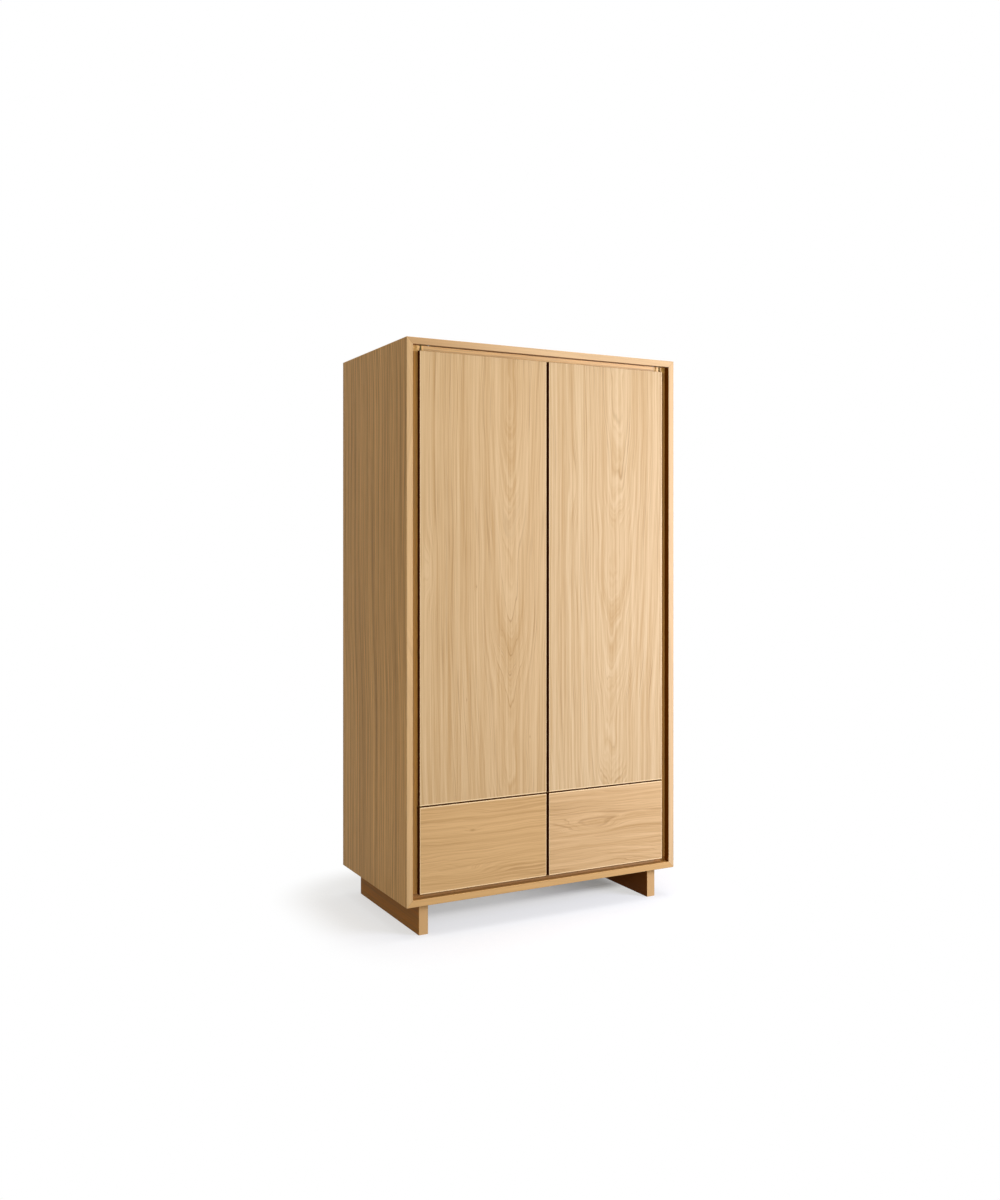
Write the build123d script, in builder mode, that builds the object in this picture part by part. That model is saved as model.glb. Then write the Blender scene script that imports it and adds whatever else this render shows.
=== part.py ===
from build123d import *
import os
from math import atan, degrees

# Armoire: two tall push-open doors over two push-open drawers, in a mitred case on two slab
# feet. A shadow channel runs round the doors and drawers, inside the edge of the case.
# Millimetres, +Z up. The front faces -Y, and +X is to the right, seen from the front.
# The origin is on the floor, under the middle of the case.

# ---- Driving dimensions ----

# Case
width = 1100.0
depth = 614.0
case_height = 1920.0
case_wall = 23.0
case_ease = 1.0  # chamfer on the case's outer edges and front edges
spline_thickness = 4.0  # loose tongues that key the mitres
spline_width = 17.0
spline_stop = 24.0  # from the front and from the back panel to a tongue's end
back_thickness = 8.0
back_rebate = 10.0  # how far the back panel lets into each wall
back_setback = 2.0  # from the case's back edges to the back panel
housing_depth = 6.0  # depth of the grooves that hold the floor and the divider

# Feet
foot_height = 110.0
foot_thickness = 35.0
foot_inset = 61.0  # from the case's side to the foot
foot_front_setback = 38.0
foot_back_setback = 28.0
foot_ease = 1.2

# Doors and drawer fronts
front_recess = 5.0  # from the case's front edge back to the faces of the doors
front_thickness = 18.0
front_ease = 0.8
push_gap = 3.0  # behind the doors and drawer fronts, for the push-open travel
side_reveal = 26.0
top_reveal = 20.0
bottom_reveal = 15.0
meeting_gap = 8.0  # between the two doors, and between the two drawer fronts
drawer_front_height = 294.0

# Inner frame behind the doors and drawer fronts
frame_thickness = 20.0
stile_width = 50.0
top_rail_height = 45.0
bottom_rail_height = 30.0
middle_rail_height = 42.0
tenon_thickness = 8.0  # loose tenons between the rails and the stiles
tenon_depth = 14.0  # into each
tenon_shoulder = 6.0

# Boards inside
floor_thickness = 18.0  # between the hanging space and the drawers
divider_thickness = 22.0
shelf_thickness = 20.0
shelf_play = 1.0  # from each end of the shelf to the wall
shelf_back_gap = 1.0
shelf_setback = 12.0  # behind the inner frame
shelf_ease = 1.0
hat_space_height = 280.0

# Shelf pins
pin_radius = 2.5
pin_play = 0.1
pin_depth = 9.0
pin_reach = 8.0
pin_inset = 60.0  # from the shelf's front and back edges

# Hanging rail
rail_radius = 12.5
rail_wall = 1.5
rail_drop = 48.0  # from the shelf down to the rail's axis
rail_play = 0.2
socket_flange_radius = 25.0
socket_flange = 3.0
socket_wall = 3.0
socket_depth = 14.0

# Pivots at the outer corners of the doors
pivot_inset = 8.0  # from a door's outer edge to the pivot's axis
pivot_edge_radius = 4.0  # on the back outer edge of a door, which turns past the frame
pivot_pin_radius = 3.0
pivot_pin_play = 0.05
pivot_pin_length = 12.0
pivot_plate = 2.5
pivot_plate_width = 14.0
pivot_plate_length = 44.0
bush_radius = 5.0
bush_flange_radius = 6.5
bush_flange = 1.2
bush_length = 14.0
running_gap = 0.3  # between faces that slide past each other
bracket_gap = 1.0  # from the drawer front up to the lower bracket
bracket_leg = 34.0

# Push latches in the top rail, one for each door
latch_inset = 30.0  # from a door's meeting edge
latch_radius = 5.0
latch_length = 42.0
latch_flange_radius = 7.0
latch_flange = 1.0
latch_end = 3.0  # wall at the closed end
plunger_radius = 3.5
plunger_play = 0.1
plunger_length = 32.0
plunger_bevel = 0.8
strike_width = 16.0
strike_thickness = 1.5
fit_play = 0.1  # round a piece that is let into wood

# Three-member drawer runners
runner_length = 500.0
runner_thickness = 12.7
runner_height = 45.0
runner_sheet = 1.2
runner_bend = 1.4
runner_setback = 5.0  # behind the front of the inner frame
runner_rise = 62.0  # from the bottom of the drawer box to the runner's middle
race_gap = 3.2  # between the flanges of two members, where a ball cage runs
web_gap = 2.8  # between the webs of the cabinet member and the middle member
mouth_gap = 2.9  # from the cabinet member's lips to the drawer's side
lip_gap = 0.8  # from a lip to the next member's web
lip_reach = 2.0
cage_play = 0.2
cage_width = 2.4
cage_length = 190.0
cage_inset = 6.0
packer_height = 70.0

# Drawer boxes
box_wall = 12.0
box_front_thickness = 14.0
box_headroom = 23.5  # from a drawer box up to the middle rail
box_back_gap = 3.0  # from the back of a drawer box to the runners' back ends
box_lift = 12.0  # above the bottom rail
tails = 5
tail_share = 0.62  # of the pitch, at the tails' wide ends
tail_slope = 1.0 / 6.0
bottom_thickness = 6.0
bottom_rise = 10.0
bottom_groove = 6.0


# ---- Places worked out from them ----

front_y = -depth / 2
back_y = depth / 2
case_bottom = foot_height
case_top = case_bottom + case_height
inside_bottom = case_bottom + case_wall
inside_top = case_top - case_wall

leaf_face_y = front_y + front_recess
leaf_back_y = leaf_face_y + front_thickness
frame_face_y = leaf_back_y + push_gap
frame_back_y = frame_face_y + frame_thickness
back_panel_y = back_y - back_setback - back_thickness

outer_x = -width / 2
wall_x = outer_x + case_wall
leaf_edge_x = wall_x + side_reveal
meeting_x = -meeting_gap / 2
stile_x = wall_x + stile_width
divider_x = -divider_thickness / 2

drawer_front_bottom = inside_bottom + bottom_reveal
drawer_front_top = drawer_front_bottom + drawer_front_height
bracket_z = drawer_front_top + bracket_gap
bracket_top = bracket_z + pivot_plate
door_bottom = bracket_top + running_gap + bush_flange
door_top = inside_top - top_reveal

middle_rail_top = (drawer_front_top + door_bottom + middle_rail_height) / 2
middle_rail_bottom = middle_rail_top - middle_rail_height
floor_top = middle_rail_top
floor_bottom = floor_top - floor_thickness

shelf_top = inside_top - hat_space_height
shelf_bottom = shelf_top - shelf_thickness
shelf_front_y = frame_back_y + shelf_setback
shelf_back_y = back_panel_y - shelf_back_gap
pin_y = (shelf_front_y + pin_inset, shelf_back_y - pin_inset)
pin_z = shelf_bottom - pin_radius
rail_y = (frame_back_y + back_panel_y) / 2
rail_z = shelf_bottom - rail_drop

pivot_x = leaf_edge_x + pivot_inset
pivot_y = leaf_face_y + front_thickness / 2
latch_x = meeting_x - latch_inset
latch_z = (door_top + inside_top - top_rail_height) / 2

box_outer_x = stile_x + runner_thickness
box_inner_x = divider_x - runner_thickness
box_front_y = leaf_back_y
box_bottom = inside_bottom + bottom_rail_height + box_lift
box_top = middle_rail_bottom - box_headroom
box_height = box_top - box_bottom
runner_z = box_bottom + runner_rise
runner_front_y = frame_face_y + runner_setback
runner_back_y = runner_front_y + runner_length
box_back_y = runner_back_y - box_back_gap

middle = Plane.YZ  # the armoire's plane of symmetry
drawer_bay = Plane.YZ.offset((stile_x + divider_x) / 2)


# ---- Shapes that repeat ----


def keep(piece, name):
    """Label a finished piece and write it to its own STEP file."""
    piece.part.label = name
    export_step(piece.part, f"parts/{name}.step")


def board(x, y, z):
    """A square-edged board between two x, two y and two z values."""
    with BuildPart() as piece:
        with BuildSketch(Plane.XY.offset(z[0])):
            with Locations((sum(x) / 2, sum(y) / 2)):
                Rectangle(x[1] - x[0], y[1] - y[0])
        extrude(amount=z[1] - z[0])
    return piece


def cut(x, y, z):
    """Cut the space between these values from the piece that is being built."""
    add(board(x, y, z).part, mode=Mode.SUBTRACT)


def turned(outline, axis_plane):
    """A solid turned from points of radius and height, standing on a plane along its normal."""
    with BuildPart() as piece:
        with BuildSketch(Plane.XZ):
            with BuildLine():
                Polyline(*outline, close=True)
            make_face()
        revolve(axis=Axis.Z)
    return piece.part.moved(axis_plane.location)


os.makedirs("parts", exist_ok=True)
left_hand = {}  # pieces of the left half, each of which has a mirrored twin on the right

# ---- Case: one mitred ring, cut into four boards ----

back_edge_x = wall_x - back_rebate
rebate_x = (back_edge_x, -back_edge_x)
rebate_z = (inside_bottom - back_rebate, inside_top + back_rebate)
floor_x = wall_x - housing_depth
floor_space = ((floor_x, -floor_x), (frame_back_y, back_panel_y), (floor_bottom, floor_top))
divider_space = (
    (divider_x, -divider_x),
    (frame_back_y, back_panel_y),
    (inside_bottom - housing_depth, floor_bottom + housing_depth),
)
mitre_middles = [
    (side * (width - case_wall) / 2, z, turn)
    for side, z, turn in (
        (-1, case_top - case_wall / 2, 45),
        (1, case_top - case_wall / 2, -45),
        (-1, case_bottom + case_wall / 2, -45),
        (1, case_bottom + case_wall / 2, 45),
    )
]
spline_plane = Plane.XZ.offset(-front_y - spline_stop)
spline_length = back_panel_y - front_y - 2 * spline_stop

with BuildPart() as case_ring:
    with BuildSketch(Plane.XZ.offset(-front_y)):
        with Locations((0, (case_bottom + case_top) / 2)):
            Rectangle(width, case_height)
            Rectangle(width - 2 * case_wall, case_height - 2 * case_wall, mode=Mode.SUBTRACT)
    extrude(amount=-depth)
    long_edges = case_ring.edges().filter_by(Axis.Y)
    outer_edges = long_edges.filter_by(lambda edge: abs(edge.center().X) > width / 2 - case_ease)
    chamfer(case_ring.faces().sort_by(Axis.Y)[0].edges() + outer_edges, length=case_ease)
    cut(rebate_x, (back_panel_y, back_y), rebate_z)
    with BuildSketch(spline_plane):
        for x, z, turn in mitre_middles:
            with Locations((x, z)):
                Rectangle(spline_width + 2 * fit_play, spline_thickness, rotation=turn)
    extrude(amount=-spline_length, mode=Mode.SUBTRACT)

top_left_mitre = Plane(origin=(outer_x, 0, case_top), z_dir=(1, 0, 1))
top_right_mitre = Plane(origin=(-outer_x, 0, case_top), z_dir=(-1, 0, 1))
bottom_left_mitre = Plane(origin=(outer_x, 0, case_bottom), z_dir=(-1, 0, 1))
bottom_right_mitre = Plane(origin=(-outer_x, 0, case_bottom), z_dir=(1, 0, 1))

upper_plate_x = pivot_x + (pivot_plate_length - pivot_plate_width) / 2
upper_plate_plane = Plane.XY.offset(inside_top)

with BuildPart() as top_panel:
    add(case_ring.part)
    split(bisect_by=top_left_mitre, keep=Keep.TOP)
    split(bisect_by=top_right_mitre, keep=Keep.TOP)
    with BuildSketch(upper_plate_plane):
        with Locations((upper_plate_x, pivot_y), (-upper_plate_x, pivot_y)):
            Rectangle(pivot_plate_length + 2 * fit_play, pivot_plate_width + 2 * fit_play)
    extrude(amount=pivot_plate, mode=Mode.SUBTRACT)
keep(top_panel, "top_panel")

with BuildPart() as bottom_panel:
    add(case_ring.part)
    split(bisect_by=bottom_left_mitre, keep=Keep.BOTTOM)
    split(bisect_by=bottom_right_mitre, keep=Keep.BOTTOM)
    cut(*divider_space)
keep(bottom_panel, "bottom_panel")

with BuildPart() as side_panel:
    add(case_ring.part)
    split(bisect_by=top_left_mitre, keep=Keep.BOTTOM)
    split(bisect_by=bottom_left_mitre, keep=Keep.TOP)
    cut(*floor_space)
    with BuildSketch(Plane.YZ.offset(wall_x)):
        with Locations(*((y, pin_z) for y in pin_y)):
            Circle(pin_radius + pin_play)
    extrude(amount=-pin_depth - pin_play, mode=Mode.SUBTRACT)
left_hand["side_panel"] = side_panel

with BuildPart() as mitre_splines:
    with BuildSketch(spline_plane):
        for x, z, turn in mitre_middles:
            with Locations((x, z)):
                Rectangle(spline_width, spline_thickness, rotation=turn)
    extrude(amount=-spline_length)
keep(mitre_splines, "mitre_splines")

keep(board(rebate_x, (back_panel_y, back_panel_y + back_thickness), rebate_z), "back_panel")

# ---- Inner frame: stiles and rails joined by loose tenons ----

rails = {
    "top_inner_rail": (inside_top - top_rail_height, inside_top),
    "middle_inner_rail": (middle_rail_bottom, middle_rail_top),
    "bottom_inner_rail": (inside_bottom, inside_bottom + bottom_rail_height),
}
frame_y = (frame_face_y, frame_back_y)
tenon_y = (
    (frame_face_y + frame_back_y - tenon_thickness) / 2,
    (frame_face_y + frame_back_y + tenon_thickness) / 2,
)
tenon_spaces = [
    ((stile_x - tenon_depth, stile_x + tenon_depth), tenon_y, (z[0] + tenon_shoulder, z[1] - tenon_shoulder))
    for z in rails.values()
]
latch_place = Plane(origin=(latch_x, frame_face_y, latch_z), z_dir=(0, -1, 0))
leg_space = (
    (pivot_x - pivot_plate_width / 2, pivot_x + pivot_plate_width / 2),
    (frame_face_y, frame_face_y + pivot_plate),
    (bracket_top - bracket_leg, bracket_top),
)

with BuildPart() as inner_stile:
    add(board((wall_x, stile_x), frame_y, (inside_bottom, inside_top)).part)
    for space in tenon_spaces:
        cut(*space)
    cut(*leg_space)
left_hand["inner_stile"] = inner_stile

for name, rail_span in rails.items():
    with BuildPart() as rail:
        add(board((stile_x, -stile_x), frame_y, rail_span).part)
        for x, y, z in tenon_spaces:
            cut(x, y, z)
            cut((-x[1], -x[0]), y, z)
        if name == "top_inner_rail":
            latch_hole = turned(
                (
                    (0, latch_flange),
                    (latch_radius + fit_play, latch_flange),
                    (latch_radius + fit_play, -frame_thickness),
                    (0, -frame_thickness),
                ),
                latch_place,
            )
            add(latch_hole, mode=Mode.SUBTRACT)
            add(latch_hole.mirror(middle), mode=Mode.SUBTRACT)
    keep(rail, name)

with BuildPart() as frame_tenons:
    for space in tenon_spaces:
        add(board(*space).part)
    mirror(about=middle)
keep(frame_tenons, "frame_tenons")

# ---- Boards inside ----

with BuildPart() as wardrobe_floor:
    add(board(*floor_space).part)
    cut(*divider_space)
keep(wardrobe_floor, "wardrobe_floor")
keep(board(*divider_space), "drawer_divider")

shelf_end_x = wall_x + shelf_play
with BuildPart() as hat_shelf:
    add(board((shelf_end_x, -shelf_end_x), (shelf_front_y, shelf_back_y), (shelf_bottom, shelf_top)).part)
    chamfer(hat_shelf.faces().sort_by(Axis.Y)[0].edges(), length=shelf_ease)
keep(hat_shelf, "hat_shelf")

with BuildPart() as shelf_pins:
    with BuildSketch(Plane.YZ.offset(wall_x - pin_depth)):
        with Locations(*((y, pin_z) for y in pin_y)):
            Circle(pin_radius)
    extrude(amount=pin_depth + pin_reach)
    mirror(about=middle)
keep(shelf_pins, "shelf_pins")

rail_end_x = wall_x + socket_flange
with BuildPart() as hanging_rail:
    with BuildSketch(Plane.YZ.offset(rail_end_x)):
        with Locations((rail_y, rail_z)):
            Circle(rail_radius)
            Circle(rail_radius - rail_wall, mode=Mode.SUBTRACT)
    extrude(amount=-2 * rail_end_x)
keep(hanging_rail, "hanging_rail")

with BuildPart() as rail_sockets:
    with BuildSketch(Plane.YZ.offset(wall_x)):
        with Locations((rail_y, rail_z)):
            Circle(socket_flange_radius)
    extrude(amount=socket_flange)
    with BuildSketch(Plane.YZ.offset(rail_end_x)):
        with Locations((rail_y, rail_z)):
            Circle(rail_radius + rail_play + socket_wall)
            Circle(rail_radius + rail_play, mode=Mode.SUBTRACT)
    extrude(amount=socket_depth)
    mirror(about=middle)
keep(rail_sockets, "rail_sockets")

# ---- Feet ----

foot_x = (outer_x + foot_inset, outer_x + foot_inset + foot_thickness)
foot_y = (front_y + foot_front_setback, back_y - foot_back_setback)
with BuildPart() as foot:
    add(board(foot_x, foot_y, (0, foot_height)).part)
    chamfer(foot.edges().filter_by(Axis.Z), length=foot_ease)
left_hand["foot"] = foot

# ---- Door pivots: fixed plates with pins, and bushes in the doors ----

with BuildPart() as upper_pivot_plates:
    with BuildSketch(upper_plate_plane):
        with Locations((upper_plate_x, pivot_y)):
            Rectangle(pivot_plate_length, pivot_plate_width)
    extrude(amount=pivot_plate)
    with BuildSketch(upper_plate_plane):
        with Locations((pivot_x, pivot_y)):
            Circle(pivot_pin_radius)
    extrude(amount=bush_flange + running_gap - top_reveal - pivot_pin_length)
    mirror(about=middle)
keep(upper_pivot_plates, "upper_pivot_plates")

with BuildPart() as lower_pivot_brackets:
    with BuildSketch(Plane.XY.offset(bracket_z)):
        with Locations((pivot_x, pivot_y)):
            Circle(pivot_plate_width / 2)
        with Locations((pivot_x, (pivot_y + frame_face_y + pivot_plate) / 2)):
            Rectangle(pivot_plate_width, frame_face_y + pivot_plate - pivot_y)
    extrude(amount=pivot_plate)
    add(board(*leg_space).part)
    with BuildSketch(Plane.XY.offset(bracket_top)):
        with Locations((pivot_x, pivot_y)):
            Circle(pivot_pin_radius)
    extrude(amount=bush_flange + running_gap + pivot_pin_length)
    mirror(about=middle)
keep(lower_pivot_brackets, "lower_pivot_brackets")

bush_outline = (
    (pivot_pin_radius + pivot_pin_play, bush_flange),
    (bush_flange_radius, bush_flange),
    (bush_flange_radius, 0),
    (bush_radius, 0),
    (bush_radius, -bush_length),
    (pivot_pin_radius + pivot_pin_play, -bush_length),
)
bush_places = [
    Plane(origin=(pivot_x, pivot_y, door_top)),
    Plane(origin=(pivot_x, pivot_y, door_bottom), z_dir=(0, 0, -1)),
]
with BuildPart() as door_bushes:
    for place in bush_places:
        add(turned(bush_outline, place))
left_hand["door_bushes"] = door_bushes

# ---- Push latches ----

plunger_tip = push_gap - running_gap
with BuildPart() as latch_housings:
    housing_bore = plunger_radius + plunger_play
    housing_outline = (
        (housing_bore, latch_flange),
        (latch_flange_radius, latch_flange),
        (latch_flange_radius, 0),
        (latch_radius, 0),
        (latch_radius, -latch_length),
        (0, -latch_length),
        (0, -latch_length + latch_end),
        (housing_bore, -latch_length + latch_end),
    )
    add(turned(housing_outline, latch_place))
    mirror(about=middle)
keep(latch_housings, "latch_housings")

with BuildPart() as latch_plunger:
    with BuildSketch(Plane(origin=(latch_x, frame_face_y - plunger_tip, latch_z), z_dir=(0, 1, 0))):
        Circle(plunger_radius)
    extrude(amount=plunger_length)
    chamfer(latch_plunger.edges().sort_by(Axis.Y)[0], length=plunger_bevel)
left_hand["latch_plunger"] = latch_plunger

strike_place = Plane(origin=(latch_x, leaf_back_y, latch_z), z_dir=(0, 1, 0))
with BuildPart() as strike_plate:
    with BuildSketch(strike_place):
        Rectangle(strike_width, strike_width)
    extrude(amount=-strike_thickness)
left_hand["strike_plate"] = strike_plate

# ---- Doors ----

bush_hole_outline = (
    (0, 0),
    (bush_radius + fit_play, 0),
    (bush_radius + fit_play, -bush_length - fit_play),
    (0, -bush_length - fit_play),
)
with BuildPart() as door_panel:
    add(board((leaf_edge_x, meeting_x), (leaf_face_y, leaf_back_y), (door_bottom, door_top)).part)
    upright_edges = door_panel.edges().filter_by(Axis.Z)
    fillet(upright_edges.group_by(Axis.X)[0].sort_by(Axis.Y)[-1], radius=pivot_edge_radius)
    chamfer(door_panel.faces().sort_by(Axis.Y)[0].edges(), length=front_ease)
    for place in bush_places:
        add(turned(bush_hole_outline, place), mode=Mode.SUBTRACT)
    with BuildSketch(strike_place):
        Rectangle(strike_width + 2 * fit_play, strike_width + 2 * fit_play)
    extrude(amount=-strike_thickness, mode=Mode.SUBTRACT)
left_hand["door_panel"] = door_panel

# ---- Drawer runners: three bent-steel members with ball cages between their flanges ----


def runner_section(start_y):
    """The upright plane across the outer runner, with its origin on the stile's edge line."""
    return Plane(origin=(stile_x, start_y, runner_z), x_dir=(1, 0, 0), z_dir=(0, -1, 0))


def runner_member(web_x, lip_x, flange_z):
    """A bent member on each side of the drawer: a web and two flanges, with lips that turn inwards."""
    sheet_middle = (web_x + lip_x) / 2
    depth = abs(lip_x - web_x)
    with BuildPart() as piece:
        with BuildSketch(runner_section(runner_front_y)) as section:
            with Locations((sheet_middle, 0)):
                Rectangle(depth + runner_sheet, 2 * flange_z + runner_sheet)
            fillet(section.vertices(), radius=runner_bend)
            with Locations((sheet_middle, 0)):
                Rectangle(depth - runner_sheet, 2 * flange_z - runner_sheet, mode=Mode.SUBTRACT)
            with Locations((lip_x, 0)):
                Rectangle(runner_sheet, 2 * (flange_z - lip_reach), mode=Mode.SUBTRACT)
        extrude(amount=-runner_length)
        mirror(about=drawer_bay)
    return piece


half_sheet = runner_sheet / 2
flange_step = race_gap + runner_sheet
cabinet_flange = runner_height / 2 - half_sheet
cabinet_lip = runner_thickness - mouth_gap - half_sheet
middle_web = 3 * half_sheet + web_gap
middle_flange = cabinet_flange - flange_step
drawer_web = runner_thickness - half_sheet
drawer_flange = middle_flange - flange_step
middle_lip = drawer_web - runner_sheet - lip_gap
drawer_lip = middle_web + runner_sheet + lip_gap

left_hand["cabinet_runners"] = runner_member(half_sheet, cabinet_lip, cabinet_flange)
left_hand["middle_runners"] = runner_member(middle_web, middle_lip, middle_flange)
left_hand["drawer_runners"] = runner_member(drawer_web, drawer_lip, drawer_flange)

cage_thickness = race_gap - 2 * cage_play
cage_rows = (
    (cabinet_lip, cabinet_flange - flange_step / 2, runner_back_y - cage_inset - cage_length),
    (middle_lip, middle_flange - flange_step / 2, runner_front_y + cage_inset),
)
with BuildPart() as ball_cages:
    for lip_x, up, start_y in cage_rows:
        across = lip_x - runner_bend - cage_play - cage_width / 2
        with BuildSketch(runner_section(start_y)):
            with Locations((across, up), (across, -up)):
                Rectangle(cage_width, cage_thickness)
        extrude(amount=-cage_length)
    mirror(about=drawer_bay)
left_hand["runner_cages"] = ball_cages

runner_z_span = (runner_z - packer_height / 2, runner_z + packer_height / 2)
left_hand["runner_packer"] = board((wall_x, stile_x), (frame_back_y, runner_back_y), runner_z_span)

# ---- Drawers: dovetailed boxes behind overlay fronts ----

box_x = (box_outer_x, box_inner_x)
box_z = (box_bottom, box_top)
tail_pitch = box_height / tails
tail_width = tail_pitch * tail_share
tail_angle = 90 - degrees(atan(tail_slope))
tail_heights = [box_bottom + (row + 0.5) * tail_pitch for row in range(tails)]
tail_ends = (
    (box_front_y + box_front_thickness / 2, box_front_thickness, -90),
    (box_back_y - box_wall / 2, box_wall, 90),
)
bottom_space = (
    (box_outer_x + box_wall - bottom_groove, box_inner_x - box_wall + bottom_groove),
    (box_front_y + box_front_thickness - bottom_groove, box_back_y - box_wall + bottom_groove),
    (box_bottom + bottom_rise, box_bottom + bottom_rise + bottom_thickness),
)


def dovetails():
    """Draw the tails at both ends of a drawer side, wide at the ends of the box."""
    for y, length, turn in tail_ends:
        with Locations(*((y, z) for z in tail_heights)):
            Trapezoid(tail_width, length, tail_angle, rotation=turn)


def drawer_side(side_x):
    """A side whose ends are cut into tails."""
    with BuildPart() as piece:
        with BuildSketch(Plane.YZ.offset(side_x)):
            inner_y = (box_front_y + box_front_thickness, box_back_y - box_wall)
            with Locations((sum(inner_y) / 2, (box_bottom + box_top) / 2)):
                Rectangle(inner_y[1] - inner_y[0], box_height)
            dovetails()
        extrude(amount=box_wall)
        cut(*bottom_space)
    return piece


def drawer_end(end_y):
    """The inner front or the back, whose ends hold the tails of the sides."""
    with BuildPart() as piece:
        add(board(box_x, end_y, box_z).part)
        for side_x in (box_outer_x, box_inner_x - box_wall):
            with BuildSketch(Plane.YZ.offset(side_x)):
                dovetails()
            extrude(amount=box_wall, mode=Mode.SUBTRACT)
        cut(*bottom_space)
    return piece


left_hand["drawer_outer_side"] = drawer_side(box_outer_x)
left_hand["drawer_inner_side"] = drawer_side(box_inner_x - box_wall)
left_hand["drawer_back"] = drawer_end((box_back_y - box_wall, box_back_y))
left_hand["drawer_bottom"] = board(*bottom_space)
left_hand["drawer_inner_front"] = drawer_end((box_front_y, box_front_y + box_front_thickness))

with BuildPart() as drawer_front:
    front_z = (drawer_front_bottom, drawer_front_top)
    add(board((leaf_edge_x, meeting_x), (leaf_face_y, leaf_back_y), front_z).part)
    chamfer(drawer_front.faces().sort_by(Axis.Y)[0].edges(), length=front_ease)
left_hand["drawer_front"] = drawer_front

# ---- Left and right twins ----

for name, piece in left_hand.items():
    keep(piece, f"left_{name}")
    with BuildPart() as twin:
        mirror(piece.part, about=middle)
    keep(twin, f"right_{name}")
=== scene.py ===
import math

import bmesh
import bpy
from bpy.props import FloatProperty, FloatVectorProperty, PointerProperty
from mathutils import Matrix, Vector


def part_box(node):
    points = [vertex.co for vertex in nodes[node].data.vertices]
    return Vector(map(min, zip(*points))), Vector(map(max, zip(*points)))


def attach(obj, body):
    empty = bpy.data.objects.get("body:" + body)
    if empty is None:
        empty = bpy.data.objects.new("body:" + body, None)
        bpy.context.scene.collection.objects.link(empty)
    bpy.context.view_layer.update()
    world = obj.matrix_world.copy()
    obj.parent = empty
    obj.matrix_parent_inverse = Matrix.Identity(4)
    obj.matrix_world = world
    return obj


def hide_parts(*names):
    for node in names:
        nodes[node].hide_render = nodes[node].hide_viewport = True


bl_info = {
    "name": "Two-Door Armoire",
    "version": (1, 0, 0),
    "blender": (4, 5, 0),
    "location": "View3D > Sidebar > Armoire",
    "description": "Finishes, small fittings and studio for a push-open oak armoire",
    "category": "Object",
}

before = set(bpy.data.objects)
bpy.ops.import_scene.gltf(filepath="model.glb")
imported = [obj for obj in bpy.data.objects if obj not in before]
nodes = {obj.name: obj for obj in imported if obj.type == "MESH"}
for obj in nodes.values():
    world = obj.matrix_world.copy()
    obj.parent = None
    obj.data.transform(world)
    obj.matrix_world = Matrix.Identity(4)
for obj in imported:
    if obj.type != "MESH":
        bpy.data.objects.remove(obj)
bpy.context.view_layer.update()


def linear(code):
    """The linear colour of a hexadecimal sRGB code."""
    parts = [int(code[i : i + 2], 16) / 255 for i in (0, 2, 4)]
    return tuple(p / 12.92 if p <= 0.04045 else ((p + 0.055) / 1.055) ** 2.4 for p in parts)


# ---- Settings that a user may change ----


def colour_setting(name, description, code):
    return FloatVectorProperty(
        name=name, description=description, subtype="COLOR", size=3, min=0, max=1, default=linear(code)
    )


def length_setting(name, description, metres):
    return FloatProperty(
        name=name, description=description, unit="LENGTH", min=0, default=metres, precision=4
    )


def share_setting(name, description, share):
    return FloatProperty(
        name=name, description=description, subtype="FACTOR", min=0, max=1, default=share
    )


def power_setting(name, description, watts):
    return FloatProperty(name=name, description=description, unit="POWER", min=0, default=watts)


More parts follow.
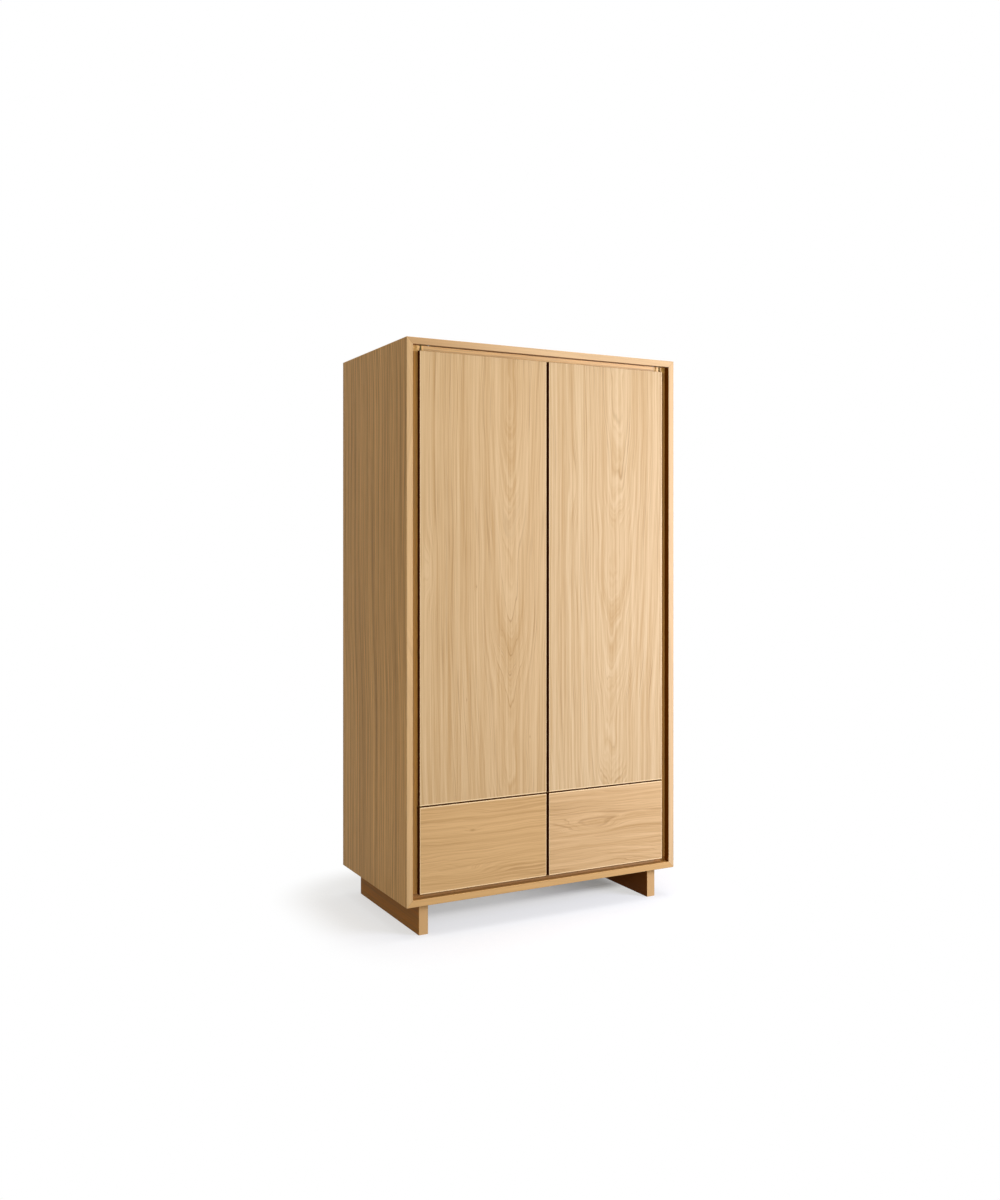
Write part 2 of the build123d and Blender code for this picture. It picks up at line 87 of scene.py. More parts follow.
class WoodSettings(bpy.types.PropertyGroup):
    """Colours and grain of the woods, with the colours of painted light and shade."""

    left_door_colour: colour_setting("Left door", "Pale wood of the left door", "d4b486")
    # Paler than the left door: painted light, as more light falls on the right.
    right_door_lit_colour: colour_setting("Right door", "Pale wood of the right door", "d8bb8f")
    left_front_colour: colour_setting("Left drawer front", "Pale wood of the left front", "d4ab75")
    # Paler than the left drawer front: painted light, as more light falls on the right.
    right_front_lit_colour: colour_setting("Right drawer front", "Pale wood of the right front", "d9b382")
    case_colour: colour_setting("Case", "Pale wood of the case", "f6c07c")
    case_streak_colour: colour_setting("Case streaks", "Darker bands of the case's grain", "9e7341")
    # The feet's wood and streaks are darker than the case's: painted shade, as the feet stand under the
    # case.
    foot_shaded_colour: colour_setting("Feet", "Wood of the feet", "b36f1c")
    foot_shaded_streak_colour: colour_setting("Feet streaks", "Darker bands of the feet's grain", "8e6327")
    frame_colour: colour_setting("Inner frame", "Wood of the frame in the shadow channel", "e6a650")
    inside_colour: colour_setting("Inside", "Wood of the boards inside", "dfbf92")
    box_colour: colour_setting("Drawer boxes", "Birch of the drawer boxes", "e6cda4")
    hidden_colour: colour_setting("Hidden parts", "Bare beech of the hidden parts", "d3ab7c")
    streak_colour: colour_setting("Streaks", "Darker bands of the grain", "b68f5b")
    line_colour: colour_setting("Growth lines", "Thin lines of the grain", "8e6737")
    # Near-black brown on the fronts' upright edges and on a strip of their faces: painted shade in the
    # gaps.
    gap_shade_colour: colour_setting("Edges", "Stain on the upright edges of the fronts", "4a2108")
    # Pale strips along the fronts' edges: painted highlights.
    highlight_colour: colour_setting("Eased edges", "Sanded edges of the doors and drawer fronts", "f8d8a4")
    lipping_colour: colour_setting("Lipping", "Front edges of the case", "d3b387")
    # The bottom panel's and the left side's front edges are darker: painted shade, as less light
    # reaches the bottom and the left.
    low_lipping_shaded_colour: colour_setting("Bottom lipping", "Front edge of the bottom panel", "c69d65")
    left_lipping_shaded_colour: colour_setting("Left lipping", "Front edge of the left side", "cdaa79")
    # Paler top of the shadow channel: painted light.
    top_rail_lit_colour: colour_setting("Top rail", "Wood of the frame above the doors", "fcc876")
    # Darker floor of the shadow channel: painted shade.
    channel_floor_shade_colour: colour_setting("Channel floor", "Stain on the floor of the shadow channel", "9d6c32")
    # Dark brown painted shade on the sides of the shadow channel, in the level gaps of the fronts and
    # on the feet's inner faces; also the real glue lines of the mitres.
    channel_shade_and_seam_colour: colour_setting("Channel", "Stain on the sides of the shadow channel", "733c00")
    ring_width: length_setting("Growth ring", "Usual width of a growth ring", 0.0055)
    grain_strength: share_setting("Grain", "Strength of the grain's streaks and lines", 0.83)
    sheen: share_setting("Roughness", "Roughness of the lacquer", 0.46)
    gloss: share_setting("Gloss", "Strength of the lacquer's reflections", 0.5)


class FittingSettings(bpy.types.PropertyGroup):
    """Sizes and colours of the small fittings."""

    steel_colour: colour_setting("Zinc", "Zinc-plated steel of the runners and screws", "b9bbbd")
    chrome_colour: colour_setting("Chrome", "Polished steel of the hanging rail", "d5d6d8")
    bronze_colour: colour_setting("Bronze", "Bronzed steel of the pivots", "6b5a34")
    latch_colour: colour_setting("Latches", "Plastic of the push latches", "4a4845")
    cage_colour: colour_setting("Ball cages", "Plastic of the ball cages", "a9a9a5")
    ball_diameter: length_setting("Ball", "Diameter of a ball in the runners", 0.0029)
    ball_pitch: length_setting("Ball pitch", "Distance from ball to ball", 0.012)


class StudioSettings(bpy.types.PropertyGroup):
    """Lamps and camera."""

    key_power: power_setting("Key", "Power of the key lamp", 109)
    front_power: power_setting("Front", "Power of the front lamp", 60)
    top_power: power_setting("Top", "Power of the top lamp", 115)
    sky: FloatProperty(
        name="Sky", description="Strength of the even light from all round", min=0, default=0.5
    )
    focal_length: FloatProperty(
        name="Focal length",
        description="Focal length of the camera",
        unit="CAMERA",
        min=1,
        default=34.55,
    )
    camera_height: length_setting("Camera height", "Height of the camera above the floor", 1.305)


# ---- Shader nodes ----


class Socket:
    """An output of a shader node. Sums of these and numbers add their own Math nodes."""

    def __init__(self, finish, node, output):
        self.finish = finish
        self.made_by = node
        self.output = node.outputs[output]

    def also(self, output):
        """Another output of the same node."""
        return Socket(self.finish, self.made_by, output)

    def math(self, operation, *values):
        return self.finish.node("ShaderNodeMath", {"operation": operation}, dict(enumerate(values)))

    def __add__(self, other):
        return self.math("ADD", self, other)

    def __sub__(self, other):
        return self.math("SUBTRACT", self, other)

    def __rsub__(self, other):
        return self.math("SUBTRACT", other, self)

    def __mul__(self, other):
        return self.math("MULTIPLY", self, other)

    def __truediv__(self, other):
        return self.math("DIVIDE", self, other)

    def __pow__(self, other):
        return self.math("POWER", self, other)

    def __lt__(self, other):
        return self.math("LESS_THAN", self, other)

    def __gt__(self, other):
        return self.math("GREATER_THAN", self, other)

    __radd__ = __add__
    __rmul__ = __mul__


class Finish:
    """A node material, or the world, that grows from expressions."""

    def __init__(self, holder):
        holder.use_nodes = True
        self.holder = holder
        self.tree = holder.node_tree
        self.tree.nodes.clear()

    def node(self, kind, settings=None, values=None, output=0):
        """Add a node, set it up, fill or link its inputs, and return one of its outputs."""
        node = self.tree.nodes.new(kind)
        for name, setting in (settings or {}).items():
            if name == "stops":
                ramp = node.color_ramp
                ramp.elements.remove(ramp.elements[-1])
                for index, (at, colour) in enumerate(setting):
                    stop = ramp.elements[0] if index == 0 else ramp.elements.new(at)
                    stop.position = at
                    stop.color = (*colour, 1)
            else:
                setattr(node, name, setting)
        for name, value in (values or {}).items():
            if isinstance(value, Socket):
                self.tree.links.new(value.output, node.inputs[name])
            elif isinstance(value, tuple) and node.inputs[name].type == "RGBA":
                node.inputs[name].default_value = (*value, 1)
            else:
                node.inputs[name].default_value = value
        return Socket(self, node, output) if node.outputs else None

    def noise(self, place, scale=1.0, detail=2.0, roughness=0.5):
        """Noise at a place, given as three numbers or sockets. It runs from 0 to 1 round a half."""
        spot = self.node("ShaderNodeCombineXYZ", values=dict(enumerate(place)))
        values = {"Vector": spot, "Scale": scale, "Detail": detail, "Roughness": roughness}
        return self.node("ShaderNodeTexNoise", {"noise_dimensions": "3D"}, values)

    def mix(self, share, first, second):
        """A colour that goes from the first to the second."""
        values = {0: share, 6: first, 7: second}
        return self.node("ShaderNodeMix", {"data_type": "RGBA"}, values, output=2)

    def ramp(self, value, low, high):
        """0 below the low value, 1 above the high value, and smooth between them."""
        settings = {"interpolation_type": "SMOOTHSTEP"}
        values = {"Value": value, "From Min": low, "From Max": high}
        return self.node("ShaderNodeMapRange", settings, values)

    def bump(self, height, strength, distance):
        """A normal from a height in shares of the distance."""
        values = {"Height": height, "Strength": strength, "Distance": distance}
        return self.node("ShaderNodeBump", values=values)

    def surface(self, **values):
        """Finish the material with one shader."""
        named = {name.replace("_", " "): value for name, value in values.items()}
        shader = self.node("ShaderNodeBsdfPrincipled", values=named)
        self.node("ShaderNodeOutputMaterial", values={"Surface": shader})
        return self.holder


def new_finish(name):
    return Finish(bpy.data.materials.new(name))


def sides_of(finish):
    """The x, y and z places on the piece."""
    place = finish.node("ShaderNodeTexCoord", output="Object")
    x = finish.node("ShaderNodeSeparateXYZ", values={0: place}, output="X")
    return {"x": x, "y": x.also("Y"), "z": x.also("Z")}


TONES = (1.15, 1.95)  # of the grain, where it is wholly pale and wholly dark
GRAIN_BUMP = (0.25, 0.0004)  # strength and depth of the grain to the touch


def wood(
    name, axes, heart, seed, pale, knots=(), stains_and_painted_light=(), strength=1.0, wave=1.0, gloss=None, streaks=None
):
    """Wood sawn from a tapered trunk, so that its growth rings show as lines and arches.

    The axes name the ways across the grain, along it and into the board. The heart is the
    trunk's middle: its place across and how deep it lies, how much deeper it goes with each
    metre along, and how far it wanders. A knot has a place across and along, a radius, how long
    it is for its width, how far it pushes the rings and how dark it is. Each tint is a mask on
    the piece's sides, a colour and how much of it there is; some are real tones of the wood,
    and others are painted shade or painted highlights.
    """
    woods = bpy.context.scene.armoire_wood
    finish = new_finish(name)
    sides = sides_of(finish)
    across, along, deep = (sides[axis] for axis in axes)
    middle, depth, taper, wander = heart

    drift = (finish.noise((along * 0.9, seed, 0.3), detail=1.0) - 0.5) * wander
    dip = (finish.noise((along * 2.1, seed, 7.1), detail=1.0) - 0.5) * (wander * 0.35)
    beside = across - middle + drift
    below = along * taper + depth + dip + deep
    radius = (beside * beside + below * below) ** 0.5
    swell = (finish.noise((across * 6, along * 1.2, seed)) - 0.5) * (0.03 * wave)
    ripple = (finish.noise((across * 30, along * 4.5, seed)) - 0.5) * (0.009 * wave)
    radius = radius + swell + ripple
    dark = 0.0
    for knot_across, knot_along, size, stretch, push, shade in knots:
        off = across - knot_across
        up = (along - knot_along) / stretch
        square = (off * off + up * up) / size**2
        radius = radius + off.math("EXPONENT", square * -1.0) * push
        dark = off.math("EXPONENT", square * -12.0) * shade + dark

    rings = radius / woods.ring_width
    band = finish.noise((rings * 0.22, along * 0.2, seed), detail=1.0)
    ring = finish.noise((rings * 0.9, along * 0.5, seed), detail=1.0)
    fine = finish.noise((rings * 3.6, along * 1.6, seed), detail=1.0)
    bent = across + swell * 0.5 + ripple * 0.6
    streak = finish.noise((bent * 160, along * 0.9, seed + deep * 120), detail=3.0, roughness=0.6)
    fibre = finish.noise((across * 800, along * 12, deep * 800), detail=1.0)
    ridge = finish.noise((rings * 0.5, along * 0.35, seed + 4.0), detail=1.0) - 0.5
    line = 1.0 - finish.ramp(ridge.math("ABSOLUTE", ridge), 0.0, 0.03)
    line = line * finish.ramp(finish.noise((across * 9, along * 2.2, seed + 8.0)), 0.36, 0.62)
    tone = band * 0.4 + ring * 0.6 + fine * 0.6 + streak * 1.1 + fibre * 0.35
    share = finish.ramp(tone, *TONES) * (woods.grain_strength * strength)
    colour = finish.mix(share, tuple(pale), tuple(streaks or woods.streak_colour))
    share = line * (0.5 * woods.grain_strength * strength)
    if knots:
        share = share + dark
    colour = finish.mix(share.math("MINIMUM", share, 1.0), colour, tuple(woods.line_colour))
    # Some of these tints are painted shade or painted highlights.
    for inside, tint, amount in stains_and_painted_light:
        colour = finish.mix(inside(sides) * amount, colour, tuple(tint))
    height = fibre * 0.5 + line * 0.4
    normal = finish.bump(height, *GRAIN_BUMP)
    rough = fibre * 0.12 + (woods.sheen - 0.06)
    shine = woods.gloss if gloss is None else gloss
    return finish.surface(Base_Color=colour, Roughness=rough, Normal=normal, Specular_IOR_Level=shine)


def dress(material, *names):
    """Give CAD nodes a material."""
    for name in names:
        nodes[name].data.materials.clear()
        nodes[name].data.materials.append(material)


def both(name):
    return f"left_{name}", f"right_{name}"


# ---- Woods of the CAD nodes ----


def low(name):
    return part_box(name)[0]


def high(name):
    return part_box(name)[1]


SKIN = 0.0003  # how near to a face still counts as on it
CASE_EASE = 0.0012  # depth of the eased edges at the front of the case
SHADE_WRAP = 0.002  # how far the painted shade of the upright edges runs onto the fronts' faces
HIGHLIGHT_WIDTH = 0.0038  # how far the painted highlights along the edges show on the fronts' faces
SEAM_WIDTH = 0.0009  # of the glue lines in the case's mitres
FACE_DEPTH = 0.001  # of the layer that counts as the fronts' faces
FADE_END = 0.05  # where the painted shade at the left of the top panel's front edge ends
FRAME_BACK = high("top_inner_rail").y


def inner_face(sides):
    """1 on the inner faces of the case."""
    x, z = sides["x"], sides["z"]
    within = x.math("ABSOLUTE", x) < high("right_inner_stile").x + SKIN
    under = z < high("right_inner_stile").z + SKIN
    over = z > low("right_inner_stile").z - SKIN
    return within * under * over


def channel_side_shade(sides):
    """1 on the inner faces of the case in front of the inner frame, where painted shade goes."""
    past_ease = sides["y"] > low("top_panel").y + CASE_EASE
    return inner_face(sides) * (sides["y"] < FRAME_BACK) * past_ease


def inside_face(sides):
    """1 on the inner faces of the case behind the inner frame."""
    return inner_face(sides) * (sides["y"] > FRAME_BACK)


def front_edge(sides):
    """1 on the front edges of the case."""
    return sides["y"] < low("top_panel").y + CASE_EASE


def left_end_shade(sides):
    """1 at the left of the case's front edges, and less and less to the middle, for painted shade."""
    x = sides["x"]
    return front_edge(sides) * (1.0 - x.finish.ramp(x, low("top_panel").x, FADE_END))


def mitre_seam(sides):
    """1 on the glue lines where the case's panels meet at 45 degrees."""
    outer, top = high("right_side_panel").x, high("top_panel").z
    beside = outer - sides["x"].math("ABSOLUTE", sides["x"])
    up = (sides["z"] - top).math("ABSOLUTE", sides["z"] - top)
    down = sides["z"] - low("bottom_panel").z
    upper, lower = beside - up, beside - down
    gap = upper.math("MINIMUM", upper.math("ABSOLUTE", upper), lower.math("ABSOLUTE", lower))
    return gap < SEAM_WIDTH / 2


class OBJECT_OT_armoire_case_wood(bpy.types.Operator):
    """Give the case and the feet their oak"""

    bl_idname = "armoire.case_wood"
    bl_label = "Case Wood"

    def execute(self, context):
        woods = context.scene.armoire_wood
        pale = woods.case_colour
        # Each panel: its name, grain axes, heart, seed, the colour of the painted shade in its shadow
        # channel and how much of it.
        case = (
            ("top_panel", "yxz", (0.1, -1.85, 0.03, 0.1), 11.0, woods.channel_shade_and_seam_colour, 0.7),
            ("bottom_panel", "yxz", (-0.1, -0.3, 0.04, 0.1), 12.0, woods.channel_floor_shade_colour, 0.85),
            ("left_side_panel", "yzx", (0.62, 0.7, 0.05, 0.12), 13.0, woods.channel_shade_and_seam_colour, 1.0),
            ("right_side_panel", "yzx", (-0.62, -0.7, 0.05, 0.12), 14.0, woods.channel_shade_and_seam_colour, 1.0),
        )
        look = {"strength": 1.15, "wave": 0.3, "gloss": 0.05}
        for name, axes, heart, seed, dark, amount in case:
            look["streaks"], lipping = woods.streak_colour, woods.lipping_colour
            # The left side's and the bottom panel's front edges take darker tones as painted shade.
            if name == "left_side_panel":
                look["streaks"], lipping = woods.case_streak_colour, woods.left_lipping_shaded_colour
            if name == "bottom_panel":
                lipping = woods.low_lipping_shaded_colour
            # Painted shade in the channel, the inside's paler tone, the front edges' tone and the dark
            # glue lines of the mitres.
            stains_and_painted_light = (
                (channel_side_shade, dark, amount),
                (inside_face, woods.inside_colour, 0.75),
                (front_edge, lipping, 0.75),
                (mitre_seam, woods.channel_shade_and_seam_colour, 0.55),
            )
            # Painted shade that fades from the left along the top panel's front edge.
            if name == "top_panel":
                stains_and_painted_light += ((left_end_shade, woods.channel_floor_shade_colour, 0.42),)
            oak = wood(f"{name}_oak", axes, heart, seed, pale, stains_and_painted_light=stains_and_painted_light, **look)
            dress(oak, name)

        # Painted shade on the feet's inner faces, under the case.
        def foot_inside_shade(sides):
            x = sides["x"]
            return x.math("ABSOLUTE", x) < low("right_foot").x + SKIN

        def foot_front(sides):
            return sides["y"] < low("right_foot").y + SKIN

        # The feet's own colour is darkened as painted shade; their lit fronts get back the pale tone of
        # the drawer fronts.
        stains_and_painted_light = (
            (foot_inside_shade, woods.channel_shade_and_seam_colour, 0.93),
            (foot_front, woods.left_front_colour, 0.87),
        )
        for name, seed in (("left_foot", 15.0), ("right_foot", 16.0)):
            look = {"stains_and_painted_light": stains_and_painted_light, "gloss": 0.05, "streaks": woods.foot_shaded_streak_colour}
            oak = wood(f"{name}_oak", "zyx", (0.2, 0.6, 0.03, 0.08), seed, woods.foot_shaded_colour, **look)
            dress(oak, name)
        return {"FINISHED"}


class OBJECT_OT_armoire_front_wood(bpy.types.Operator):
    """Give the doors and the drawer fronts their oak"""

    bl_idname = "armoire.front_wood"
    bl_label = "Door and Drawer Wood"

    def execute(self, context):
        woods = context.scene.armoire_wood
        # The right door and drawer front take paler tones than the left ones as painted light.
        fronts = (
            ("left_door_panel", "xzy", (-0.15, 0.46, -0.055, 0.1), 21.0, woods.left_door_colour, 1.0),
            ("right_door_panel", "xzy", (0.29, 0.48, -0.05, 0.12), 26.0, woods.right_door_lit_colour, 1.0),
            ("left_drawer_front", "zxy", (-0.1, 0.4, 0.12, 0.08), 23.0, woods.left_front_colour, 2.8),
            ("right_drawer_front", "zxy", (-0.2, 0.4, 0.12, 0.08), 24.0, woods.right_front_lit_colour, 2.8),
        )
        knots = {
            "left_door_panel": (
                (-0.285, 1.186, 0.006, 3.0, 0.004, 0.5),
                (-0.073, 0.651, 0.006, 3.0, 0.004, 0.5),
                (-0.323, 0.796, 0.006, 3.0, 0.004, 0.4),
                (-0.462, 1.24, 0.022, 5.0, 0.03, 0.0),
            ),
            "right_door_panel": ((0.12, 1.55, 0.03, 4.0, 0.02, 0.0),),
            "left_drawer_front": (
                (0.345, -0.3, 0.014, 2.4, 0.012, 0.4),
                (0.21, -0.33, 0.032, 3.0, 0.02, 0.0),
            ),
            "right_drawer_front": ((0.3, 0.2, 0.032, 4.0, 0.035, 0.0),),
        }
        for name, axes, heart, seed, pale, wave in fronts:

            # Painted shade on the upright edges and a strip of the faces beside them, and on the level
            # edges, so that the gaps between the fronts show dark.
            def upright_gap_shade(sides, name=name):
                lowest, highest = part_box(name)
                return (sides["x"] < lowest.x + SHADE_WRAP) + (sides["x"] > highest.x - SHADE_WRAP)

            def level_gap_shade(sides, name=name):
                lowest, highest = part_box(name)
                return (sides["z"] < lowest.z + SKIN) + (sides["z"] > highest.z - SKIN)

            # Painted highlights along the edges of the fronts' faces; the doors' top edges have none.
            def highlight_strip(sides, name=name):
                lowest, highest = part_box(name)
                beside = (sides["x"] < lowest.x + HIGHLIGHT_WIDTH) + (sides["x"] > highest.x - HIGHLIGHT_WIDTH)
                beside = beside + (sides["z"] < lowest.z + HIGHLIGHT_WIDTH)
                if "drawer" in name:
                    beside = beside + (sides["z"] > highest.z - HIGHLIGHT_WIDTH)
                return beside.math("MINIMUM", beside, 1.0) * (sides["y"] < lowest.y + FACE_DEPTH)

            stains_and_painted_light = (
                (highlight_strip, woods.highlight_colour, 0.75),
                (level_gap_shade, woods.channel_shade_and_seam_colour, 1.0),
                (upright_gap_shade, woods.gap_shade_colour, 1.0),
            )
            look = {"strength": 0.95, "wave": wave, "gloss": 0.02}
            dress(wood(f"{name}_oak", axes, heart, seed, pale, knots[name], stains_and_painted_light, **look), name)
        return {"FINISHED"}


class OBJECT_OT_armoire_frame_wood(bpy.types.Operator):
    """Give the inner frame its oak"""

    bl_idname = "armoire.frame_wood"
    bl_label = "Inner Frame Wood"

    def execute(self, context):
        woods = context.scene.armoire_wood
        pale = woods.frame_colour

        # Painted light on the stiles above the doors and painted shade below the drawers, like the
        # rails beside them.
        def lit_over_doors(sides):
            return sides["z"] > high("left_door_panel").z

        def shaded_under_drawers(sides):
            return sides["z"] < low("left_drawer_front").z

        stains_and_painted_light = ((lit_over_doors, woods.top_rail_lit_colour, 0.9), (shaded_under_drawers, woods.channel_floor_shade_colour, 0.9))
        for number, name in enumerate(both("inner_stile")):
            heart = (0.0, 0.5, 0.02, 0.06)
            dress(wood(f"{name}_oak", "xzy", heart, 31.0 + number, pale, stains_and_painted_light=stains_and_painted_light), name)
        # The top rail is paler as painted light and the bottom rail darker as painted shade.
        rails = (
            ("top", woods.top_rail_lit_colour),
            ("middle", woods.case_colour),
            ("bottom", woods.channel_floor_shade_colour),
        )
        for number, (place, colour) in enumerate(rails):
            name = f"{place}_inner_rail"
            dress(wood(f"{name}_oak", "zxy", (1.0, 0.5, 0.02, 0.06), 33.0 + number, colour), name)
        return {"FINISHED"}


class OBJECT_OT_armoire_inside_wood(bpy.types.Operator):
    """Give the boards inside, the drawer boxes and the hidden parts their woods"""

    bl_idname = "armoire.inside_wood"
    bl_label = "Inside Wood"

    def execute(self, context):
        woods = context.scene.armoire_wood
        inside = (
            ("back_panel", "xzy", (0.1, -0.42, 0.03, 0.2), 41.0),
            ("drawer_divider", "zyx", (0.2, 0.6, 0.02, 0.1), 42.0),
            ("wardrobe_floor", "yxz", (0.1, -0.1, 0.02, 0.1), 43.0),
            ("hat_shelf", "yxz", (0.0, -1.3, 0.02, 0.1), 44.0),
        )
        for name, axes, heart, seed in inside:
            dress(wood(f"{name}_oak", axes, heart, seed, woods.inside_colour), name)
        box_heart = (0.6, 0.5, 0.02, 0.05)

        def end_grain(sides):
            """1 where the boards' ends show between the dovetails."""
            reach = sides["x"].math("ABSOLUTE", sides["x"])
            nearest = low("right_drawer_back").x + SKIN
            furthest = high("right_drawer_back").x - SKIN
            return (reach < nearest) + (reach > furthest)

        birch, look = woods.box_colour, {"strength": 0.55}
        stains_and_painted_light = ((end_grain, woods.streak_colour, 0.65),)
        ends = wood("drawer_end_birch", "zxy", box_heart, 51.0, birch, stains_and_painted_light=stains_and_painted_light, **look)
        sides = wood("drawer_side_birch", "zyx", box_heart, 52.0, birch, **look)
        bottom = wood("drawer_bottom_birch", "yxz", box_heart, 53.0, birch, **look)
        dress(ends, *both("drawer_inner_front"), *both("drawer_back"))
        dress(sides, *both("drawer_outer_side"), *both("drawer_inner_side"))
        dress(bottom, *both("drawer_bottom"))
        beech = wood("hidden_beech", "xyz", box_heart, 54.0, woods.hidden_colour, strength=0.7)
        dress(beech, "mitre_splines", "frame_tenons", *both("runner_packer"))
        return {"FINISHED"}


# ---- Metals and plastics ----


def brushed_metal(name, colour, roughness, axis):
    """Metal with fine marks along one axis and faint clouds."""
    finish = new_finish(name)
    sides = sides_of(finish)
    scales = [30 if letter == axis else 1400 for letter in "xyz"]
    marks = finish.noise([sides[letter] * scale for letter, scale in zip("xyz", scales)], detail=2.0)
    clouds = finish.noise([sides[letter] * 45 for letter in "xyz"], detail=3.0)
    shade = tuple(part * 0.72 for part in colour)
    base = finish.mix(marks * 0.5 + clouds * 0.4, tuple(colour), shade)
    normal = finish.bump(marks, 0.15, 0.0002)
    rough = clouds * 0.18 + marks * 0.1 + (roughness - 0.14)
    return finish.surface(Base_Color=base, Metallic=1.0, Roughness=rough, Normal=normal)


def moulded_plastic(name, colour):
    """Matt plastic with a spark-eroded surface."""
    finish = new_finish(name)
    sides = sides_of(finish)
    grain = finish.noise([sides[letter] * 2600 for letter in "xyz"], detail=2.0)
    clouds = finish.noise([sides[letter] * 60 for letter in "xyz"], detail=2.0)
    base = finish.mix(clouds, tuple(colour), tuple(part * 0.8 for part in colour))
    normal = finish.bump(grain, 0.3, 0.0001)
    return finish.surface(Base_Color=base, Roughness=grain * 0.2 + 0.4, Normal=normal)


class OBJECT_OT_armoire_fittings(bpy.types.Operator):
    """Give the runners, pivots, latches, pins and rail their metals and plastics"""

    bl_idname = "armoire.fittings"
    bl_label = "Fittings"

    def execute(self, context):
        fittings = context.scene.armoire_fittings
        zinc = brushed_metal("runner_zinc", fittings.steel_colour, 0.36, "y")
        pins = brushed_metal("pin_steel", fittings.steel_colour, 0.3, "x")
        chrome = brushed_metal("rail_chrome", fittings.chrome_colour, 0.16, "x")
        bronze = brushed_metal("pivot_bronze", fittings.bronze_colour, 0.42, "z")
        plastic = moulded_plastic("latch_plastic", fittings.latch_colour)
        dress(zinc, *both("cabinet_runners"), *both("middle_runners"), *both("drawer_runners"))
        dress(pins, "shelf_pins", *both("strike_plate"))
        dress(chrome, "hanging_rail", "rail_sockets")
        dress(bronze, "upper_pivot_plates", "lower_pivot_brackets", *both("door_bushes"))
        dress(plastic, "latch_housings", *both("latch_plunger"))
        return {"FINISHED"}


# ---- Pieces modelled here ----


def new_piece(name, mesh, material, body):
    """Make a piece from a finished bmesh, and let it ride on a body."""
    bmesh.ops.recalc_face_normals(mesh, faces=mesh.faces)
    data = bpy.data.meshes.new(name)
    mesh.to_mesh(data)
    mesh.free()
    piece = bpy.data.objects.new(name, data)
    bpy.context.scene.collection.objects.link(piece)
    data.materials.append(material)
    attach(piece, body)
    return piece


def facing(centre, towards):
    """A place at a centre, whose Z points one way."""
    turn = Vector(towards).to_track_quat("Z", "Y")
    return Matrix.LocRotScale(centre, turn, None)


# Pan head, from its foot up and down into its socket: shares of the radius and of the height
PAN_HEAD = ((1.0, 0.45), (0.94, 0.75), (0.76, 0.94), (0.5, 1.0))
SOCKET_REACH, SOCKET_WAIST, SOCKET_DEPTH = 0.44, 0.3, 0.55


def screw_head(mesh, place, radius, height):
    """A pan head with a six-lobed socket, standing at its place."""
    rim = bmesh.ops.create_circle(mesh, cap_ends=True, segments=24, radius=radius)
    verts = set(rim["verts"])
    top = rim["verts"][0].link_faces[0]
    if top.normal.z < 0:
        top.normal_flip()

    def next_ring(reach, level, lobes=False):
        nonlocal top
        top = bmesh.ops.extrude_discrete_faces(mesh, faces=[top])["faces"][0]
        for number, vert in enumerate(top.verts):
            wide = reach
            if lobes and number % 4 >= 2:
                wide = SOCKET_WAIST * radius
            flat = Vector((vert.co.x, vert.co.y, 0)).normalized() * wide
            vert.co = flat + Vector((0, 0, level))
            verts.add(vert)

    for reach, level in PAN_HEAD:
        next_ring(reach * radius, level * height)
    next_ring(SOCKET_REACH * radius, height, lobes=True)
    next_ring(SOCKET_REACH * radius, (1 - SOCKET_DEPTH) * height, lobes=True)
    bmesh.ops.transform(mesh, matrix=place, verts=list(verts))


# Radius and height of the screws' heads, in metres
WOOD_HEAD = (0.0036, 0.0016)
FLANGE_HEAD = (0.003, 0.0014)
FOOT_HEAD = (0.007, 0.0032)
PIVOT_HEAD = (0.0032, 0.0013)
FRONT_HEAD = (0.0042, 0.0022)

# Where the screws stand, in metres
BACK_INSET = 0.005  # from the back panel's edge
BACK_ROWS = (0.35, 0.62, 0.89, 1.16, 1.43, 1.70)
BACK_COLUMNS = (-0.4, -0.2, 0.0, 0.2, 0.4)
SOCKET_CIRCLE = 0.0205  # from the hanging rail's axis
FOOT_ROWS = (-0.19, 0.0, 0.19)
PLATE_INSET = 0.036  # from the outer end of an upper pivot plate
LEG_ROWS = (0.42, 0.431)
FRONT_ACROSS = 0.16  # from the middle of a drawer box
FRONT_INSET = 0.05  # from the box's top and bottom
RUNNER_SHEET = 0.0012
RUNNER_THICKNESS = 0.0127
CABINET_RUNNER_ROWS = (0.04, 0.23, 0.42)  # from a runner's front end
DRAWER_RUNNER_ROWS = (0.03, 0.22, 0.41)


